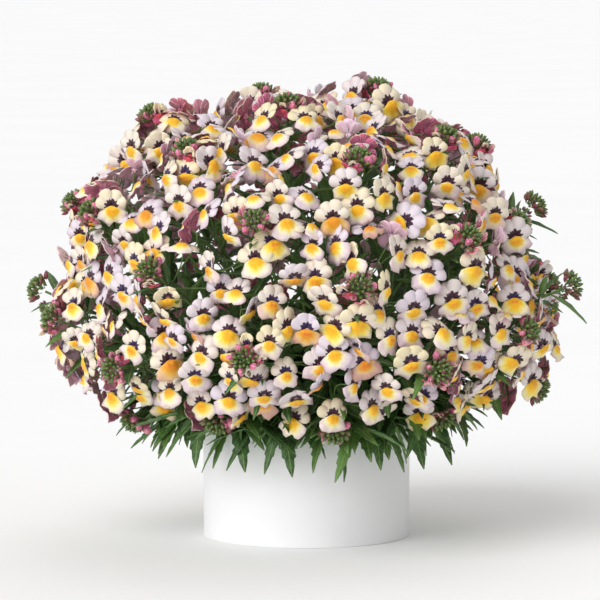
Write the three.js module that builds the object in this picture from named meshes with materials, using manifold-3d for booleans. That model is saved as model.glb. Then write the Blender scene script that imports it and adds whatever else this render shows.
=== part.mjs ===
// A potted nemesia in full flower: a plain round pot, its soil, nine leafy stems and the flower heads on them.
// Millimetres, +Z up. The origin is the middle of the pot's underside, and the plant's front faces -Y.
import * as THREE from "three";
import { mergeVertices } from "three/addons/utils/BufferGeometryUtils.js";
import Module from "manifold-3d";

const wasm = await Module();
wasm.setup();

// Driving dimensions
const pot = { radius: 75, height: 100, wall: 3.2, floor: 4, sides: 36 };
const drain = { count: 4, radius: 5, circle: 42, sides: 6 };
const soil = {
  gap: 0.4,
  edgeHeight: 84,
  crownHeight: 90,
  crownRadius: 44,
  sides: 18,
  lift: 1.2,
  ripple: [0.11, 0.13],
  holeSides: 5,
  holeLength: 40,
};
// The flowers lie on a squarish dome round a centre above the rim; directions are seen from that centre.
const dome = { centre: 172, reach: 182, rise: 152, drop: 97, squareness: 2.5, lowest: -34 };
// Where the plant swells or falls back from the dome: azimuth from +X towards +Y, elevation, width, share.
const swellings = [
  { azimuth: 0, elevation: 80, width: 13, share: 0.07 },
  { azimuth: -5, elevation: 27, width: 19, share: -0.12 },
  { azimuth: -8, elevation: -13, width: 17, share: 0.1 },
  { azimuth: 180, elevation: -3, width: 20, share: 0.02 },
  { azimuth: 180, elevation: -26, width: 20, share: 0.13 },
  { azimuth: 180, elevation: 52, width: 16, share: 0.04 },
  { azimuth: -80, elevation: -30, width: 18, share: 0.05 },
  { azimuth: 120, elevation: 35, width: 22, share: -0.05 },
  { azimuth: 65, elevation: -10, width: 20, share: 0.05 },
];
// Flower heads and flowers start on a spiral, stray a little from it and are then pushed apart
const spreading = { rounds: 60, push: 0.4 };
const head = {
  count: 44,
  seed: 2718,
  stray: 20,
  room: 97,
  roomAtFixed: 0.6,
  fullerInFront: 0,
  coreDepth: 29,
  tuftDepth: 8,
  towardsLight: 0.45,
};
const ring = { inner: 2.2, outer: 4.6, high: 4, low: -2 };
// A flower faces outward, away from its head's middle; a few hang well askew.
const bloom = {
  count: 400,
  seed: 31415,
  stray: 12,
  room: 30,
  roomAtFixed: 0.75,
  fullerInFront: 0.08,
  depth: 13,
  depthByDistance: 0.75,
  nearest: 14,
  farthest: 48,
  outward: 0.85,
  away: 0.45,
  awayOnTop: 0.35,
  levelling: 0.8,
  wander: 0.5,
  turn: 32,
  askew: 100,
  askewShare: 0.12,
  smallest: 0.94,
  largest: 1.06,
  neckRadius: 0.9,
  neckBehind: 2.8,
};
const tuft = { radius: 3.2, rise: 4, reach: 6.5, lower: 2.5, height: 10 };
// Shoots that stand out of the dome, with buds only: azimuth, elevation and reach past the surface.
const shoots = [
  { azimuth: 4, elevation: 21, reach: 14 },
  { azimuth: -12, elevation: 3, reach: 12 },
  { azimuth: 176, elevation: 1, reach: 10 },
  { azimuth: 78, elevation: 44, reach: 10 },
];
// A stem's line is given as distance from the pot's axis and height.
const stem = {
  sectors: 8,
  line: [
    [27, 76],
    [27, 94],
    [35, 116],
    [45, 138],
    [50, 158],
  ],
  middleHeights: [76, 110, 150, 200],
  middleReach: 62,
  radius: 2.5,
  gap: 0.4,
};
// Branches to the lowest and the highest heads, and where along the stem they start
const branch = {
  radius: 1.05,
  lowestHead: 95,
  highestHead: 265,
  lowestStart: 0.5,
  highestStart: 0.97,
  bend: 0.35,
  slack: 0.6,
  belowHead: 7,
  low: 125,
};
// Leafy shoots that hang over the rim, two from each outer stem: turn from the stem's own direction, and line
const skirt = {
  turn: 11.25,
  line: [
    [28, 98],
    [58, 112],
    [80, 108],
    [90, 98],
  ],
};
const leaf = { stalk: 3, width: 12, thickness: 0.9, droop: 6, fold: 1.3, clearance: 0.5 };
// Where the pairs of leaves stand along a branch, and which way they point
const leafPairs = {
  skirt: [
    { at: 0.74, outward: 0.2, sideways: 0.48, upward: -0.85, length: 45 },
    { at: 0.96, outward: 0.42, sideways: 0.24, upward: -0.88, length: 49 },
  ],
  low: [{ at: 0.62, outward: 0.45, sideways: 0.55, upward: -0.6, length: 42 }],
  high: [{ at: 0.6, outward: 0.3, sideways: 0.8, upward: 0.25, length: 36 }],
};

const colours = { pot: 0xf4f4f2, soil: 0x4a372a, petal: 0xf3e9d2, leaf: 0x3f6b2f };

// Face-on outline of one flower, in its own frame: across, up and forward. Its four upper lobes have a notch
// in the middle, and waists set off the broad lower lip.
const bloomOutline = [
  [-6.2, -0.8, 0.8],
  [-7.8, -10.6, 1.0],
  [7.8, -10.6, 1.0],
  [6.2, -0.8, 0.8],
  [11.4, 3.0, -0.6],
  [6.2, 12.0, -0.2],
  [0, 8.6, 0.4],
  [-6.2, 12.0, -0.2],
  [-11.4, 3.0, -0.6],
];
const bloomPalate = [0, -1.8, 3.4];

// One half of a leaf's toothed edge: share of the length, share of the half width.
const leafEdge = [
  [0.4, 1.0],
  [0.52, 0.7],
  [0.72, 0.72],
];
const leafRib = 0.45;

const { clamp, lerp, inverseLerp, degToRad: radians } = THREE.MathUtils;
const up = new THREE.Vector3(0, 0, 1);

// The same draws on every run
function makeRandom(seed) {
  let state = seed;
  return () => {
    state = (state * 48271) % 2147483647;
    return state / 2147483647;
  };
}

const direction = (azimuth, elevation) =>
  new THREE.Vector3(
    Math.cos(radians(azimuth)) * Math.cos(radians(elevation)),
    Math.sin(radians(azimuth)) * Math.cos(radians(elevation)),
    Math.sin(radians(elevation)),
  );

// Surface of the dome
const domeCentre = new THREE.Vector3(0, 0, dome.centre);
const swellingDirections = swellings.map((s) => direction(s.azimuth, s.elevation));

function domeRadius(d) {
  const across = Math.hypot(d.x, d.y) / dome.reach;
  const upward = Math.abs(d.z) / (d.z > 0 ? dome.rise : dome.drop);
  const plain = (across ** dome.squareness + upward ** dome.squareness) ** (-1 / dome.squareness);
  let share = 1;
  swellings.forEach((s, i) => {
    const angle = Math.acos(clamp(d.dot(swellingDirections[i]), -1, 1));
    share += s.share * Math.exp(-((angle / radians(s.width)) ** 2));
  });
  return plain * share;
}

function onDome(point) {
  const d = point.clone().sub(domeCentre).normalize();
  const lowest = Math.sin(radians(dome.lowest));
  if (d.z < lowest) {
    const level = Math.sqrt(1 - lowest * lowest) / Math.hypot(d.x, d.y);
    d.set(d.x * level, d.y * level, lowest);
  }
  return d.multiplyScalar(domeRadius(d)).add(domeCentre);
}

function outwardAt(point) {
  const p = point.clone().sub(domeCentre);
  const across = Math.hypot(p.x, p.y);
  const height = p.z > 0 ? dome.rise : dome.drop;
  const sideways = (across / dome.reach) ** (dome.squareness - 1) / dome.reach;
  const upwards = (Math.abs(p.z) / height) ** (dome.squareness - 1) / height;
  return new THREE.Vector3(
    (p.x / across) * sideways,
    (p.y / across) * sideways,
    Math.sign(p.z) * upwards,
  ).normalize();
}

// Points spread over the dome: each starts on a spiral, strays, and is pushed off until it has its room, which
// is smaller beside the fixed points and on the plant's front
function spread(kind, fixed, random) {
  const lowest = Math.sin(radians(dome.lowest));
  const golden = Math.PI * (3 - Math.sqrt(5));
  let points = Array.from({ length: kind.count }, (_, i) => {
    const z = 1 - ((1 - lowest) * (i + 0.5)) / kind.count;
    const level = Math.sqrt(1 - z * z);
    const d = new THREE.Vector3(level * Math.cos(i * golden), level * Math.sin(i * golden), z);
    const strayed = new THREE.Vector3(random() - 0.5, random() - 0.5, random() - 0.5);
    return onDome(d.multiplyScalar(domeRadius(d)).add(domeCentre).addScaledVector(strayed, kind.stray));
  });
  for (let n = 0; n < spreading.rounds; n++) {
    points = points.map((p, i) => {
      const room = kind.room * (1 + (kind.fullerInFront * p.y) / dome.reach);
      const push = new THREE.Vector3();
      const pushFrom = (q, wanted) => {
        const far = p.distanceTo(q);
        if (far < wanted) push.addScaledVector(p.clone().sub(q), (spreading.push * (wanted - far)) / far);
      };
      points.forEach((q, j) => {
        if (i !== j) pushFrom(q, room);
      });
      fixed.forEach((q) => pushFrom(q, room * kind.roomAtFixed));
      return onDome(p.clone().add(push));
    });
  }
  return points;
}

// Tips of the stems: the flower heads, and the shoots in bud
function makeTip(surface, reach) {
  const axis = outwardAt(surface).addScaledVector(up, head.towardsLight).normalize();
  return {
    surface,
    axis,
    core: surface.clone().addScaledVector(axis, reach - head.coreDepth),
    tuft: surface.clone().addScaledVector(axis, reach - head.tuftDepth),
    blooms: [],
  };
}

const shootPoints = shoots.map((s) => onDome(domeCentre.clone().add(direction(s.azimuth, s.elevation))));
const headPoints = spread(head, shootPoints, makeRandom(head.seed));
const shootTips = shootPoints.map((p, i) => makeTip(p, shoots[i].reach));
const heads = headPoints.map((p) => makeTip(p, 0));

// Flowers keep clear of the bud tufts, and each hangs on the nearest head
function makeBloom(point, random) {
  const distance = (tip) => tip.surface.distanceTo(point);
  const tip = heads.reduce((a, b) => (distance(b) < distance(a) ? b : a));
  const outward = outwardAt(point);
  const lateral = point.clone().sub(tip.surface);
  lateral.addScaledVector(tip.axis, -lateral.dot(tip.axis));
  // A flower far from the stem hangs deeper in, so that its stalk passes under the nearer ones
  const far = Math.min(1, (lateral.length() - bloom.nearest) / (bloom.farthest - bloom.nearest));
  const depth = bloom.depthByDistance * far + (1 - bloom.depthByDistance) * random();
  const centre = point.clone().addScaledVector(outward, -bloom.depth * depth);
  const facing = outward
    .clone()
    .multiplyScalar(bloom.outward)
    .addScaledVector(lateral.normalize(), bloom.away + bloom.awayOnTop * Math.max(0, outward.z));
  facing.z *= bloom.levelling;
  const wander = new THREE.Vector3(random() - 0.5, random() - 0.5, random() - 0.5);
  facing.addScaledVector(wander, bloom.wander).normalize();
  const stalk = centre.clone().sub(tip.core).normalize();
  if (facing.dot(stalk) < 0.35) facing.addScaledVector(stalk, 0.5).normalize();
  const mostTurn = radians(random() < bloom.askewShare ? bloom.askew : bloom.turn);
  const turn = mostTurn * (random() + random() - 1);
  const size = lerp(bloom.smallest, bloom.largest, random());
  const level = up.clone().addScaledVector(facing, -facing.z).normalize();
  const right = level.clone().cross(facing);
  const across = right.clone().multiplyScalar(Math.cos(turn)).addScaledVector(level, Math.sin(turn));
  const upward = level.clone().multiplyScalar(Math.cos(turn)).addScaledVector(right, -Math.sin(turn));
  tip.blooms.push({ centre, facing, across, upward, size });
}

const bloomRandom = makeRandom(bloom.seed);
const tuftPoints = [...heads, ...shootTips].map((t) => t.surface);
spread(bloom, tuftPoints, bloomRandom).forEach((p) => makeBloom(p, bloomRandom));

// Mesh helpers
class Shell {
  constructor() {
    this.points = [];
    this.faces = [];
  }
  point(p) {
    this.points.push(p.x, p.y, p.z);
    return this.points.length / 3 - 1;
  }
  vertex(i) {
    return new THREE.Vector3().fromArray(this.points, i * 3);
  }
  middle(indices) {
    const sum = new THREE.Vector3();
    indices.forEach((i) => sum.add(this.vertex(i)));
    return sum.divideScalar(indices.length);
  }
  face(a, b, c) {
    this.faces.push(a, b, c);
  }
  geometry() {
    return new THREE.BufferGeometry()
      .setAttribute("position", new THREE.Float32BufferAttribute(this.points, 3))
      .setIndex(this.faces);
  }
}

function solidFrom(geometry) {
  const plain = geometry.clone();
  plain.deleteAttribute("normal");
  plain.deleteAttribute("uv");
  const merged = mergeVertices(plain, 1e-4);
  return new wasm.Manifold(
    new wasm.Mesh({
      numProp: 3,
      vertProperties: new Float32Array(merged.attributes.position.array),
      triVerts: new Uint32Array(merged.index.array),
    }),
  );
}

function geometryFrom(solid) {
  const mesh = solid.getMesh();
  return new THREE.BufferGeometry()
    .setAttribute("position", new THREE.BufferAttribute(new Float32Array(mesh.vertProperties), 3))
    .setIndex(new THREE.BufferAttribute(new Uint32Array(mesh.triVerts), 1));
}

const plant = new THREE.Group();

function addMesh(name, geometry, colour, roughness) {
  geometry.computeVertexNormals();
  const material = new THREE.MeshStandardMaterial({ color: colour, roughness, flatShading: true });
  const mesh = new THREE.Mesh(geometry, material);
  mesh.name = name;
  plant.add(mesh);
}

// Pot: a straight-sided cylinder with a flat floor and drain holes
function makePot() {
  const inner = pot.radius - pot.wall;
  const profile = [
    [0, 0],
    [pot.radius, 0],
    [pot.radius, pot.height],
    [inner, pot.height],
    [inner, pot.floor],
    [0, pot.floor],
  ].map(([r, z]) => new THREE.Vector2(r, z));
  let solid = solidFrom(new THREE.LatheGeometry(profile, pot.sides).rotateX(Math.PI / 2));
  for (let i = 0; i < drain.count; i++) {
    const angle = ((i + 0.5) * 2 * Math.PI) / drain.count;
    const hole = new THREE.CylinderGeometry(drain.radius, drain.radius, pot.floor * 3, drain.sides)
      .rotateX(Math.PI / 2)
      .translate(drain.circle * Math.cos(angle), drain.circle * Math.sin(angle), pot.floor / 2);
    solid = solid.subtract(solidFrom(hole));
  }
  return geometryFrom(solid);
}

// Soil: a plug that fills the pot, uneven on top, with a plain hole for each stem
function makeSoil(roots) {
  const radius = pot.radius - pot.wall - soil.gap;
  const bottom = pot.floor + soil.gap;
  const profile = [
    [0, bottom],
    [radius, bottom],
    [radius, soil.edgeHeight],
    [soil.crownRadius, soil.crownHeight],
    [0, soil.crownHeight],
  ].map(([r, z]) => new THREE.Vector2(r, z));
  const geometry = new THREE.LatheGeometry(profile, soil.sides).rotateX(Math.PI / 2);
  const position = geometry.attributes.position;
  for (let i = 0; i < position.count; i++) {
    const [x, y, z] = [position.getX(i), position.getY(i), position.getZ(i)];
    const ripple = Math.sin(x * soil.ripple[0]) * Math.cos(y * soil.ripple[1]);
    if (z > pot.height / 2) position.setZ(i, z + soil.lift * ripple);
  }
  let solid = solidFrom(geometry);
  const holeRadius = (stem.radius + stem.gap) / Math.cos(Math.PI / soil.holeSides);
  roots.forEach((root) => {
    const hole = new THREE.CylinderGeometry(holeRadius, holeRadius, soil.holeLength, soil.holeSides)
      .rotateX(Math.PI / 2)
      .translate(root.x, root.y, root.z + soil.holeLength / 2 - stem.gap);
    solid = solid.subtract(solidFrom(hole));
  });
  return geometryFrom(solid);
}

// One flower head, as one closed mesh: a small ring round the stem, and a stalk with a flower for each bloom
function makeHead(tip) {
  const shell = new Shell();
  const e1 = new THREE.Vector3(1, 0, 0).cross(tip.axis).normalize();
  const e2 = tip.axis.clone().cross(e1);
  const sides = Math.ceil(tip.blooms.length / 2) + 1;
  const circle = (radius, height) =>
    Array.from({ length: sides }, (_, j) => {
      const angle = (j * 2 * Math.PI) / sides;
      const corner = tip.core.clone().addScaledVector(tip.axis, height);
      corner.addScaledVector(e1, radius * Math.cos(angle));
      return shell.point(corner.addScaledVector(e2, radius * Math.sin(angle)));
    });
  const outer = circle(ring.outer, 0);
  const high = circle(ring.inner, ring.high);
  const low = circle(ring.inner, ring.low);
  const roots = [];
  for (let j = 0; j < sides; j++) {
    const k = (j + 1) % sides;
    roots.push([outer[j], outer[k], high[j]], [outer[k], high[k], high[j]]);
    shell.face(outer[k], outer[j], low[j]);
    shell.face(outer[k], low[j], low[k]);
    shell.face(high[j], high[k], low[j]);
    shell.face(high[k], low[k], low[j]);
  }
  const growing = matchRoots(shell, roots, tip);
  roots.forEach((root, i) => {
    if (growing[i]) growBloom(shell, root, growing[i]);
    else shell.face(...root);
  });
  return shell.geometry();
}

// Each stalk starts from the ring's face that looks its way: blooms swap faces while that brings them closer
function matchRoots(shell, roots, tip) {
  const towards = (p) => p.clone().sub(tip.core).normalize();
  const rootWays = roots.map((root) => towards(shell.middle(root)));
  const growing = roots.map((_, i) => tip.blooms[i]);
  const turn = (b, i) => (b ? rootWays[i].angleTo(towards(b.centre)) : 0);
  let swapped = true;
  while (swapped) {
    swapped = false;
    for (let i = 0; i < roots.length; i++)
      for (let j = i + 1; j < roots.length; j++) {
        const now = turn(growing[i], i) + turn(growing[j], j);
        const then = turn(growing[j], i) + turn(growing[i], j);
        if (then < now - 1e-6) {
          [growing[i], growing[j]] = [growing[j], growing[i]];
          swapped = true;
        }
      }
  }
  return growing;
}

function growBloom(shell, root, b) {
  const place = ([x, y, z]) =>
    b.centre
      .clone()
      .addScaledVector(b.across, x * b.size)
      .addScaledVector(b.upward, y * b.size)
      .addScaledVector(b.facing, z * b.size);
  // The neck's three corners are turned to stand over the root's, so that the stalk isn't twisted
  let [sum1, sum2] = [0, 0];
  root.forEach((corner, i) => {
    const d = shell.vertex(corner).sub(shell.middle(root));
    const angle = Math.atan2(d.dot(b.upward), d.dot(b.across)) - (i * 2 * Math.PI) / 3;
    sum1 += Math.cos(angle);
    sum2 += Math.sin(angle);
  });
  const phase = Math.atan2(sum2, sum1);
  const neckAngles = [0, 1, 2].map((i) => phase + (i * 2 * Math.PI) / 3);
  const neck = neckAngles.map((angle) => {
    const [x, y] = [Math.cos(angle), Math.sin(angle)];
    return shell.point(place([bloom.neckRadius * x, bloom.neckRadius * y, -bloom.neckBehind]));
  });
  for (let i = 0; i < 3; i++) {
    const k = (i + 1) % 3;
    shell.face(root[i], root[k], neck[i]);
    shell.face(root[k], neck[k], neck[i]);
  }
  const rim = bloomOutline.map((p) => shell.point(place(p)));
  const palate = shell.point(place(bloomPalate));
  // Behind, each edge of the outline joins the nearest corner of the neck
  const nearest = bloomOutline.map((p, j) => {
    const q = bloomOutline[(j + 1) % bloomOutline.length];
    const angle = Math.atan2(p[1] + q[1], p[0] + q[0]);
    const apart = neckAngles.map((a) => Math.cos(a - angle));
    return apart.indexOf(Math.max(...apart));
  });
  rim.forEach((p, j) => {
    const q = rim[(j + 1) % rim.length];
    const before = nearest[(j + rim.length - 1) % rim.length];
    shell.face(palate, p, q);
    shell.face(q, p, neck[nearest[j]]);
    if (before !== nearest[j]) shell.face(p, neck[before], neck[nearest[j]]);
  });
}

// Green parts
function addTube(shell, points, radius, sides) {
  let side = new THREE.Vector3(0.3, 0.9, 0.2);
  const rings = points.map((p, i) => {
    const before = points[Math.max(0, i - 1)];
    const after = points[Math.min(points.length - 1, i + 1)];
    const along = after.clone().sub(before).normalize();
    side = side.clone().addScaledVector(along, -side.dot(along)).normalize();
    const other = along.clone().cross(side);
    return Array.from({ length: sides }, (_, j) => {
      const angle = (j * 2 * Math.PI) / sides;
      const corner = p.clone().addScaledVector(side, radius * Math.cos(angle));
      return shell.point(corner.addScaledVector(other, radius * Math.sin(angle)));
    });
  });
  rings.slice(1).forEach((next, i) => {
    const here = rings[i];
    here.forEach((corner, j) => {
      const k = (j + 1) % sides;
      shell.face(corner, here[k], next[j]);
      shell.face(here[k], next[k], next[j]);
    });
  });
  const start = rings[0];
  for (let j = 1; j < sides - 1; j++) shell.face(start[0], start[j + 1], start[j]);
  return rings.at(-1);
}

function makeMainStem(line) {
  const shell = new Shell();
  const end = addTube(shell, line, stem.radius, 4);
  const top = shell.point(line.at(-1).clone().addScaledVector(up, stem.radius / 2));
  end.forEach((corner, j) => shell.face(corner, end[(j + 1) % end.length], top));
  return solidFrom(shell.geometry());
}

function makeShoot(line) {
  const shell = new Shell();
  const end = addTube(shell, line, branch.radius, 3);
  shell.face(...end);
  return solidFrom(shell.geometry());
}

// A branch that runs up through its flower head's ring and ends in a pointed tuft of buds
function makeBranch(line, tip) {
  const shell = new Shell();
  const last = addTube(shell, line, branch.radius, 3);
  const middle = line.at(-1);
  const outwards = last.map((i) => shell.vertex(i).sub(middle).normalize());
  const place = (outward, out, along) =>
    shell.point(middle.clone().addScaledVector(outward, out).addScaledVector(tip.axis, along));
  const belt = outwards.map((outward) => place(outward, tuft.radius, tuft.rise));
  const top = place(up, 0, tuft.height);
  outwards.forEach((outward, j) => {
    const k = (j + 1) % outwards.length;
    const between = outward.clone().add(outwards[k]).normalize();
    const low = place(between, tuft.reach, tuft.lower);
    shell.face(last[j], last[k], low);
    shell.face(last[k], belt[k], low);
    shell.face(belt[k], belt[j], low);
    shell.face(belt[j], last[j], low);
    shell.face(belt[j], belt[k], top);
  });
  return solidFrom(shell.geometry());
}

// A toothed leaf blade, arched along its length and folded at the rib
function makeLeaf(l, thickness) {
  const shell = new Shell();
  const normal = l.along.clone().cross(l.across);
  const place = (t, w, lift) =>
    l.base
      .clone()
      .addScaledVector(l.along, t * l.length)
      .addScaledVector(l.across, (w * leaf.width) / 2)
      .addScaledVector(normal, lift + leaf.fold * Math.abs(w) - leaf.droop * t * t);
  const right = leafEdge.map(([along, across]) => place(along, -across, 0));
  const left = leafEdge.map(([along, across]) => place(along, across, 0)).reverse();
  const rim = [place(0, 0, 0), ...right, place(1, 0, 0), ...left].map((p) => shell.point(p));
  const upper = shell.point(place(leafRib, 0, thickness / 2));
  const under = shell.point(place(leafRib, 0, -thickness / 2));
  rim.forEach((p, i) => {
    const q = rim[(i + 1) % rim.length];
    shell.face(upper, p, q);
    shell.face(under, q, p);
  });
  return solidFrom(shell.geometry());
}

// Stems: eight round the middle, each with the heads of its own sector, and one in the middle for the top
const sectorAngle = (2 * Math.PI) / stem.sectors;
function lineAt(angle, line) {
  return line.map(([r, z]) => new THREE.Vector3(r * Math.cos(angle), r * Math.sin(angle), z));
}

const stems = Array.from({ length: stem.sectors }, (_, s) => {
  const angle = s * sectorAngle;
  const [start] = lineAt(angle, skirt.line);
  const hanging = [-1, 1].map((hand) => {
    const [, ...outer] = lineAt(angle + hand * radians(skirt.turn), skirt.line);
    return [start, ...outer];
  });
  return { line: lineAt(angle, stem.line), hanging, tips: [] };
});
const middleLine = stem.middleHeights.map((z) => new THREE.Vector3(0, 0, z));
const middleStem = { line: middleLine, hanging: [], tips: [] };

[...heads, ...shootTips].forEach((tip) => {
  const { x, y } = tip.surface;
  const sector = (Math.round(Math.atan2(y, x) / sectorAngle) + stem.sectors) % stem.sectors;
  const owner = Math.hypot(x, y) < stem.middleReach ? middleStem : stems[sector];
  owner.tips.push(tip);
});

function pathThrough(line) {
  const path = new THREE.CurvePath();
  line.slice(1).forEach((p, i) => path.add(new THREE.LineCurve3(line[i], p)));
  return path;
}

// The lower its head, the lower a branch leaves its stem; it comes to the head from below, along its axis
function branchLine(owner, tip, isLow) {
  const height = clamp(inverseLerp(branch.lowestHead, branch.highestHead, tip.core.z), 0, 1);
  const start = pathThrough(owner.line).getPoint(lerp(branch.lowestStart, branch.highestStart, height));
  const end = tip.core.clone().addScaledVector(tip.axis, -branch.belowHead);
  const bend = end.clone().addScaledVector(tip.axis, -branch.bend * end.distanceTo(start));
  const route = new THREE.CubicBezierCurve3(start, start.clone().lerp(bend, branch.slack), bend, end);
  return [...route.getPoints(isLow ? 3 : 2), tip.tuft];
}

// Leaves stand in pairs, left and right of the branch. Those of the low branches hang over the rim.
function leavesOn(line, pairs, hands) {
  const path = pathThrough(line);
  return pairs.flatMap(({ at, outward, sideways, upward, length }) => {
    const base = path.getPoint(at);
    const out = new THREE.Vector3(base.x, base.y, 0).normalize();
    return hands.map((hand) => {
      const along = out
        .clone()
        .multiplyScalar(outward)
        .addScaledVector(up.clone().cross(out), sideways * hand)
        .addScaledVector(up, upward)
        .normalize();
      const across = up.clone().cross(along).normalize();
      return { base, along, across, length };
    });
  });
}

const placed = [];

// A leaf is joined to its stem where it has room; one that would run through a flower or a leaf is left out
function makeStem(owner) {
  let solid = makeMainStem(owner.line);
  const leaves = [];
  const addLeaves = (line, pairs, hands) =>
    leavesOn(line, pairs, hands).forEach((l) => {
      const roomy = makeLeaf(l, leaf.thickness + 2 * leaf.clearance);
      if ([...placed, ...leaves].some((other) => !other.intersect(roomy).isEmpty())) return;
      solid = solid.add(makeLeaf(l, leaf.thickness));
      const base = l.base.clone().addScaledVector(l.along, leaf.stalk);
      leaves.push(makeLeaf({ ...l, base }, leaf.thickness));
    });
  owner.hanging.forEach((line) => {
    solid = solid.add(makeShoot(line));
    addLeaves(line, leafPairs.skirt, [1, -1]);
  });
  owner.tips.forEach((tip, i) => {
    const isLow = tip.core.z < branch.low;
    const line = branchLine(owner, tip, isLow);
    solid = solid.add(makeBranch(line, tip));
    if (isLow) addLeaves(line, leafPairs.low, [1, -1]);
    else if (i % 2 === 0) addLeaves(line, leafPairs.high, [i % 4 ? 1 : -1]);
  });
  placed.push(solid);
  return geometryFrom(solid);
}

addMesh("pot", makePot(), colours.pot, 0.35);
addMesh("soil", makeSoil([...stems, middleStem].map((s) => s.line[0])), colours.soil, 0.95);
heads.forEach((tip, i) => {
  const geometry = makeHead(tip);
  placed.push(solidFrom(geometry));
  addMesh("flower_head_" + String(i + 1).padStart(2, "0"), geometry, colours.petal, 0.55);
});
stems.forEach((s, i) => addMesh("leafy_stem_" + (i + 1), makeStem(s), colours.leaf, 0.6));
addMesh("leafy_stem_middle", makeStem(middleStem), colours.leaf, 0.6);

export default plant;
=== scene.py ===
import math

import bmesh
import bpy
import numpy as np
from mathutils import Matrix, Vector


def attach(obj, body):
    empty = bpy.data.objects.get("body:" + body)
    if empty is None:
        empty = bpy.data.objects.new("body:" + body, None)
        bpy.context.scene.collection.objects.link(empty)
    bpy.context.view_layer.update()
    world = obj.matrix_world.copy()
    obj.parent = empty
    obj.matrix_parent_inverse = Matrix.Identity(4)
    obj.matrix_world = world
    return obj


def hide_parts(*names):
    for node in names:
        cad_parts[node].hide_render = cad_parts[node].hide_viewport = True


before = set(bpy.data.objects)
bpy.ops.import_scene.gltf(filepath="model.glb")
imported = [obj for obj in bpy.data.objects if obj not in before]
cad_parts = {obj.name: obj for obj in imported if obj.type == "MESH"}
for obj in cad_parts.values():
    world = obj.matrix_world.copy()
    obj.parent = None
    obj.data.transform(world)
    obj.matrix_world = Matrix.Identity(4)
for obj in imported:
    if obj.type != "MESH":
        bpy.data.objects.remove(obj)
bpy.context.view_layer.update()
mm = 0.001
up = Vector((0, 0, 1))

# the plant's layout, in millimetres, drawn from the same values and seeds as the solids
dome = {"centre": 172, "reach": 182, "rise": 152, "drop": 97, "squareness": 2.5, "lowest": -34}
swellings = [  # azimuth, elevation, width, share
    (0, 80, 13, 0.07), (-5, 27, 19, -0.12), (-8, -13, 17, 0.1), (180, -3, 20, 0.02),
    (180, -26, 20, 0.13), (180, 52, 16, 0.04), (-80, -30, 18, 0.05), (120, 35, 22, -0.05),
    (65, -10, 20, 0.05),
]
spreading = {"rounds": 60, "push": 0.4}
head = {"count": 44, "seed": 2718, "stray": 20, "room": 97, "roomAtFixed": 0.6, "fullerInFront": 0,
        "coreDepth": 29, "tuftDepth": 8, "towardsLight": 0.45}
bloom = {"count": 400, "seed": 31415, "stray": 12, "room": 30, "roomAtFixed": 0.75,
         "fullerInFront": 0.08, "depth": 13, "depthByDistance": 0.75, "nearest": 14, "farthest": 48,
         "outward": 0.85, "away": 0.45, "awayOnTop": 0.35, "levelling": 0.8, "wander": 0.5,
         "turn": 32, "askew": 100, "askewShare": 0.12, "leastForward": 0.35, "forward": 0.5,
         "smallest": 0.94, "largest": 1.06}
shoots = [(4, 21, 14), (-12, 3, 12), (176, 1, 10), (78, 44, 10)]  # azimuth, elevation, reach
stem = {"sectors": 8, "line": [(27, 76), (27, 94), (35, 116), (45, 138), (50, 158)],
        "middleHeights": [76, 110, 150, 200], "middleReach": 62, "radius": 2.5}
branch = {"radius": 1.0, "lowestHead": 95, "highestHead": 265, "lowestStart": 0.5,
          "highestStart": 0.97, "bend": 0.35, "slack": 0.6, "belowHead": 7, "low": 125}
skirt = {"turn": 11.25, "line": [(28, 98), (58, 112), (80, 108), (90, 98)], "radii": [1.3, 1.1, 1.0, 0.8]}


def makeRandom(seed):
    state = seed

    def draw():
        nonlocal state
        state = state * 48271 % 2147483647
        return state / 2147483647
    return draw


def wayTo(azimuth, elevation):
    a, e = math.radians(azimuth), math.radians(elevation)
    return np.array([math.cos(a) * math.cos(e), math.sin(a) * math.cos(e), math.sin(e)])


domeCentre = np.array([0, 0, dome["centre"]], float)
lowestSine = math.sin(math.radians(dome["lowest"]))
swellWays = np.array([wayTo(azimuth, elevation) for azimuth, elevation, _, _ in swellings])
swellWidths = np.radians([width for _, _, width, _ in swellings])
swellShares = np.array([share for _, _, _, share in swellings])


def unit(v):
    return v / np.linalg.norm(v, axis=-1, keepdims=True)


def domeRadius(d):
    power = dome["squareness"]
    across = np.hypot(d[:, 0], d[:, 1]) / dome["reach"]
    upward = np.abs(d[:, 2]) / np.where(d[:, 2] > 0, dome["rise"], dome["drop"])
    angle = np.arccos(np.clip(d @ swellWays.T, -1, 1))
    share = 1 + (swellShares * np.exp(-((angle / swellWidths) ** 2))).sum(axis=1)
    return (across ** power + upward ** power) ** (-1 / power) * share


def onDome(points):
    d = unit(points - domeCentre)
    low = d[:, 2] < lowestSine
    d[low, :2] *= (math.sqrt(1 - lowestSine ** 2) / np.hypot(d[low, 0], d[low, 1]))[:, None]
    d[low, 2] = lowestSine
    return d * domeRadius(d)[:, None] + domeCentre


def outwardAt(point):
    p = np.array(point) - domeCentre
    across = math.hypot(p[0], p[1])
    height = dome["rise"] if p[2] > 0 else dome["drop"]
    sideways = (across / dome["reach"]) ** (dome["squareness"] - 1) / dome["reach"]
    upwards = (abs(p[2]) / height) ** (dome["squareness"] - 1) / height
    return Vector((p[0] / across * sideways, p[1] / across * sideways,
                   math.copysign(upwards, p[2]))).normalized()


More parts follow.
